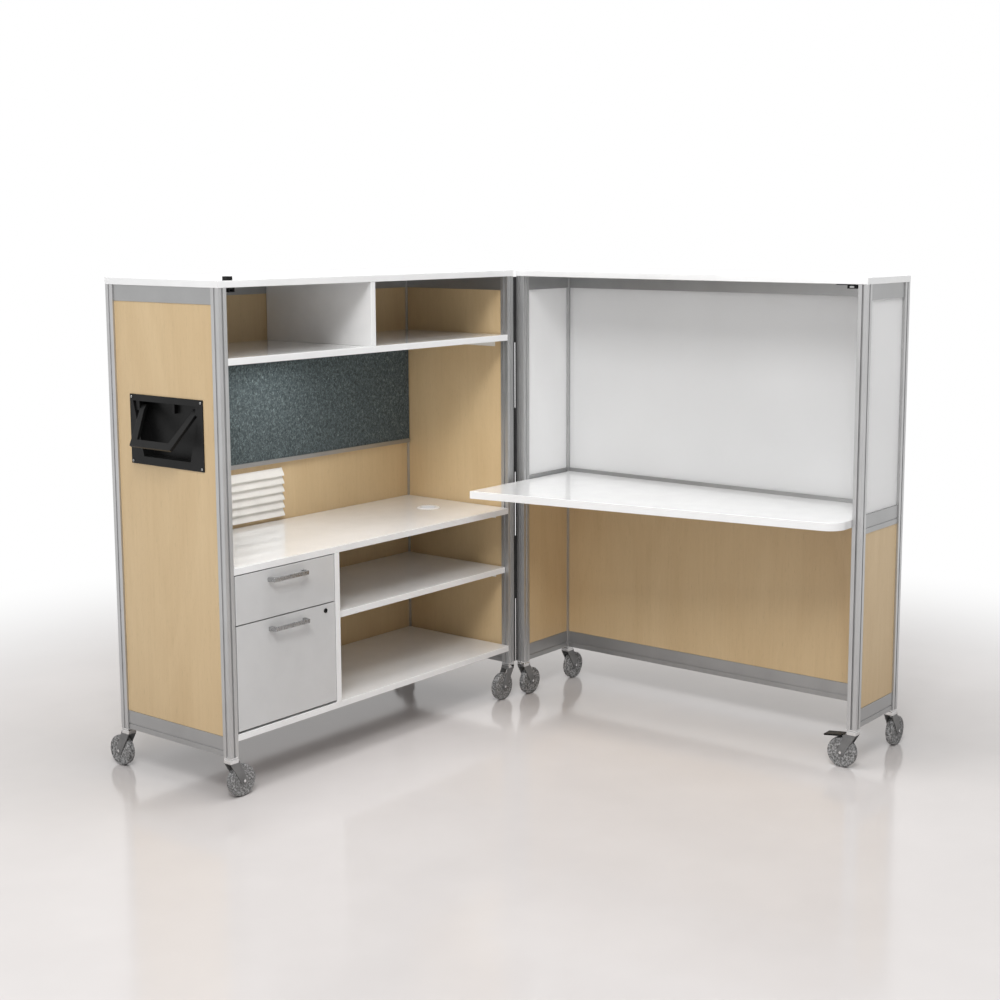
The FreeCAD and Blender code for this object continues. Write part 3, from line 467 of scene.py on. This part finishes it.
HANDLE_SCREW_RADIUS = 0.0035
HANDLE_SCREW_INSET = 0.008


def handle_screws():
    """Corner screws on the handle tray's flange."""
    start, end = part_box("handle_tray")
    for i, y in enumerate((start.y + HANDLE_SCREW_INSET, end.y - HANDLE_SCREW_INSET)):
        for k, z in enumerate((start.z + HANDLE_SCREW_INSET, end.z - HANDLE_SCREW_INSET)):
            screw(f"handle_screw_{i}{k}", Vector((start.x, y, z)), -X, HANDLE_SCREW_RADIUS, "storage")


LATCH_PLATE = 0.003
LATCH_SCREW_RADIUS = 0.0025
LATCH_SCREW_INSET = 0.006
LATCH_SCREW_REACH = 0.026


def latch_screws():
    """Screws through the latch's plate into the desk top."""
    box_low, box_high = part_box("latch_housing")
    z = box_high.z - LATCH_PLATE
    for i, x in enumerate((box_low.x + LATCH_SCREW_INSET, box_high.x - LATCH_SCREW_INSET)):
        for k, y in enumerate((box_high.y - LATCH_SCREW_INSET, box_high.y - LATCH_SCREW_REACH)):
            screw(f"latch_screw_{i}{k}", Vector((x, y, z)), -Z, LATCH_SCREW_RADIUS, "desk")


LEAF_THICK = 0.0015
LEAF_SCREWS = 12
LEAF_SCREW_RADIUS = 0.0028
LEAF_SCREW_INSET = 0.009


def hinge_screws():
    """A row of screws down each hinge leaf."""
    leaf_low, leaf_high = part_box("hinge_leaf_storage")
    desk_high = high("hinge_leaf_desk")
    storage_y = leaf_high.y - LEAF_SCREW_INSET
    desk_x = desk_high.x - LEAF_SCREW_INSET
    pitch = (leaf_high.z - leaf_low.z) / LEAF_SCREWS
    for i in range(LEAF_SCREWS):
        z = leaf_low.z + (i + 0.5) * pitch
        storage_place = Vector((CORNER.x + LEAF_THICK, storage_y, z))
        desk_place = Vector((desk_x, CORNER.y + LEAF_THICK, z))
        screw(f"leaf_screw_a{i}", storage_place, X, LEAF_SCREW_RADIUS, "storage")
        screw(f"leaf_screw_b{i}", desk_place, Y, LEAF_SCREW_RADIUS, "desk")


HUB_RADIUS = 0.013
HUB_DEPTH = 0.0008
HUB_LIFT = 0.0003
HUB_SIDES = 32
AXLE_RADIUS = 0.0045
AXLE_DEPTH = 0.0006
AXLE_SINK = 0.00028
AXLE_SIDES = 20


def caster_trim():
    """A bright axle end on both sides of every fork, and a hub on both sides of every wheel."""
    for name in [node.removesuffix("_wheel") for node in nodes if node.endswith("_wheel")]:
        wheel, fork = f"{name}_wheel", f"{name}_fork"
        size = high(wheel) - low(wheel)
        spin = X if size.x < size.y else Y
        wheel_middle = middle(wheel)
        fork_middle = wheel_middle + spin * (middle(fork) - wheel_middle).dot(spin)
        reach = abs((high(fork) - low(fork)).dot(spin)) / 2
        for side, tag in ((-1, "near"), (1, "far")):
            face = wheel_middle + spin * side * min(size.x, size.y) / 2
            stud(f"{name}_hub_{tag}", face + spin * side * HUB_LIFT, spin, HUB_RADIUS, HUB_DEPTH,
                 "grey_steel", nodes[wheel]["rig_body"], sides=HUB_SIDES)
            end = fork_middle + spin * side * (reach - AXLE_SINK)
            stud(f"{name}_axle_{tag}", end, spin, AXLE_RADIUS, AXLE_DEPTH,
                 "chrome", nodes[fork]["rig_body"], sides=AXLE_SIDES)


HEAD_HALF = 0.0155
HEAD_HEIGHT = 0.0125
HEAD_LIFT = 0.0001
HEAD_EDGE = 0.0015


def fork_heads():
    """A bright plated block round the top of every fork, centred on its stem."""
    half = Vector((HEAD_HALF, HEAD_HALF, 0))
    for name in [node for node in nodes if node.endswith("_fork")]:
        top = high(name).z
        plates = "storage_caster_plates" if name.startswith("storage") else "desk_caster_plates"
        stem = nearest_stem(name, plates)
        brick(f"{name}_head", stem - half + Z * (top - HEAD_HEIGHT), stem + half + Z * (top + HEAD_LIFT),
              "chrome", nodes[name]["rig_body"], edge=HEAD_EDGE)


PLATE_HALF = 0.015


def nearest_stem(fork, plates):
    """The middle of a caster's stem in plan. It is half a plate in from the nearest corner of the
    box that holds the cabinet's four plates."""
    start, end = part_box(plates)
    place = middle(fork)
    x = min((start.x + PLATE_HALF, end.x - PLATE_HALF), key=lambda value: abs(value - place.x))
    y = min((start.y + PLATE_HALF, end.y - PLATE_HALF), key=lambda value: abs(value - place.y))
    return Vector((x, y, 0))


KNUCKLES = 6
LEAF_EDGE_START = 0.0118
LEAF_EDGE_WIDTH = 0.0054


def leaf_edges():
    """The desk leaf's edge beside each knuckle of the storage leaf."""
    leaf_low, leaf_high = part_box("hinge_leaf_storage")
    pitch = (leaf_high.z - leaf_low.z) / KNUCKLES
    for i in range(0, KNUCKLES, 2):
        start = Vector((CORNER.x + LEAF_EDGE_START, CORNER.y, leaf_low.z + i * pitch))
        end = start + Vector((LEAF_EDGE_WIDTH, LEAF_THICK, pitch))
        brick(f"leaf_edge_{i}", start, end, "black_steel", "desk", edge=0)


CAMERA_PLACE = Vector((-4.2935, -3.4160, 1.6455))
CAMERA_TILT = 0.139
CAMERA_TURN = -0.9196


def camera():
    """The photograph's view. The place is measured from the corner where the cabinets meet."""
    data = bpy.data.cameras.new("camera")
    data.lens = 57.85
    data.sensor_width = 36
    data.shift_x = -0.0469
    data.shift_y = -0.0506
    view = bpy.data.objects.new("camera", data)
    view.location = CORNER + CAMERA_PLACE
    view.rotation_euler = Euler((math.pi / 2 - CAMERA_TILT, 0, CAMERA_TURN))
    bpy.context.scene.collection.objects.link(view)
    bpy.context.scene.camera = view


def lamp(name, place, aim, power, width):
    """A soft square light that faces a point."""
    data = bpy.data.lights.new(name, "AREA")
    data.energy = power
    data.shape = "SQUARE"
    data.size = width
    light = bpy.data.objects.new(name, data)
    light.location = place
    light.rotation_euler = (Vector(aim) - Vector(place)).to_track_quat("-Z", "Y").to_euler()
    bpy.context.scene.collection.objects.link(light)


def lights():
    """Three soft lights round the object and a small one under the overhead shelf."""
    lamp("key", (-3.9, -2.6, 5.4), (0, 0, 0.7), power=195, width=2.0)
    lamp("side", (-5.2, -0.6, 3.2), (0, 0, 0.9), power=26, width=2.0)
    lamp("top", (-0.3, -0.1, 4.4), (0, 0, 0), power=84, width=1.6)
    shelf = middle("overhead_shelf")
    lamp("under_shelf", (shelf.x - 0.1, shelf.y - 0.02, 1.2), (shelf.x - 0.1, shelf.y, 0),
         power=1.6, width=0.3)


# Heights on the world's unit sphere between which the dome goes from dim to bright.
DOME_START = -0.1
DOME_END = 0.9
DOME_DIM = 0.04
DOME_BRIGHT = 0.62


def backdrop():
    """White to the camera, in reflections and through the screens. All else is lit by a grey dome."""
    world = bpy.data.worlds.new("world")
    bpy.context.scene.world = world
    world.use_nodes = True
    tree = world.node_tree
    ray = tree.nodes.new("ShaderNodeLightPath")
    seen = ray.outputs["Is Camera Ray"]
    for kind in ("Is Glossy Ray", "Is Transmission Ray"):
        either = tree.nodes.new("ShaderNodeMath")
        either.operation = "MAXIMUM"
        tree.links.new(seen, either.inputs[0])
        tree.links.new(ray.outputs[kind], either.inputs[1])
        seen = either.outputs[0]
    height = tree.nodes.new("ShaderNodeSeparateXYZ")
    tree.links.new(tree.nodes.new("ShaderNodeTexCoord").outputs["Generated"], height.inputs[0])
    dome = tree.nodes.new("ShaderNodeMapRange")
    tree.links.new(height.outputs["Z"], dome.inputs["Value"])
    dome.inputs["From Min"].default_value = DOME_START
    dome.inputs["From Max"].default_value = DOME_END
    dome.inputs["To Min"].default_value = DOME_DIM
    dome.inputs["To Max"].default_value = DOME_BRIGHT
    mix = tree.nodes.new("ShaderNodeMix")
    mix.data_type = "RGBA"
    tree.links.new(seen, mix.inputs[MIX_SHARE])
    tree.links.new(dome.outputs[0], mix.inputs[MIX_FIRST])
    mix.inputs[MIX_SECOND].default_value = grey(1)
    tree.links.new(mix.outputs[MIX_RESULT], tree.nodes["Background"].inputs["Color"])


FLOOR_SIZE = 60
FLOOR_DROP = 0.0005
FADE_START = 1.6
FADE_END = 3.3


def floor():
    """A pale glossy floor that fades into the white around it."""
    s = Shader("floor")
    far = s.add("ShaderNodeVectorMath", {0: s.place()}, operation="LENGTH").outputs["Value"]
    reach = {"Value": far, "From Min": FADE_START, "From Max": FADE_END}
    fade = s.add("ShaderNodeMapRange", reach, interpolation_type="SMOOTHSTEP").outputs[0]
    mottle = s.noise(3, detail=3)
    s.set(Base_Color=s.ramp(mottle, (0.3, FLOOR_SHADE), (0.7, FLOOR_LIGHT)), Roughness=0.13)
    s.mix_surface(fade, s.add("ShaderNodeEmission", {"Color": grey(1)}))
    bpy.ops.mesh.primitive_plane_add(size=FLOOR_SIZE, location=(0, 0, -FLOOR_DROP))
    plane = bpy.context.object
    plane.name = "floor"
    plane.data.materials.append(s.material)


dress_cad()
handle_screws()
latch_screws()
hinge_screws()
caster_trim()
fork_heads()
leaf_edges()
camera()
lights()
backdrop()
floor()
bpy.context.scene.view_settings.view_transform = "Standard"
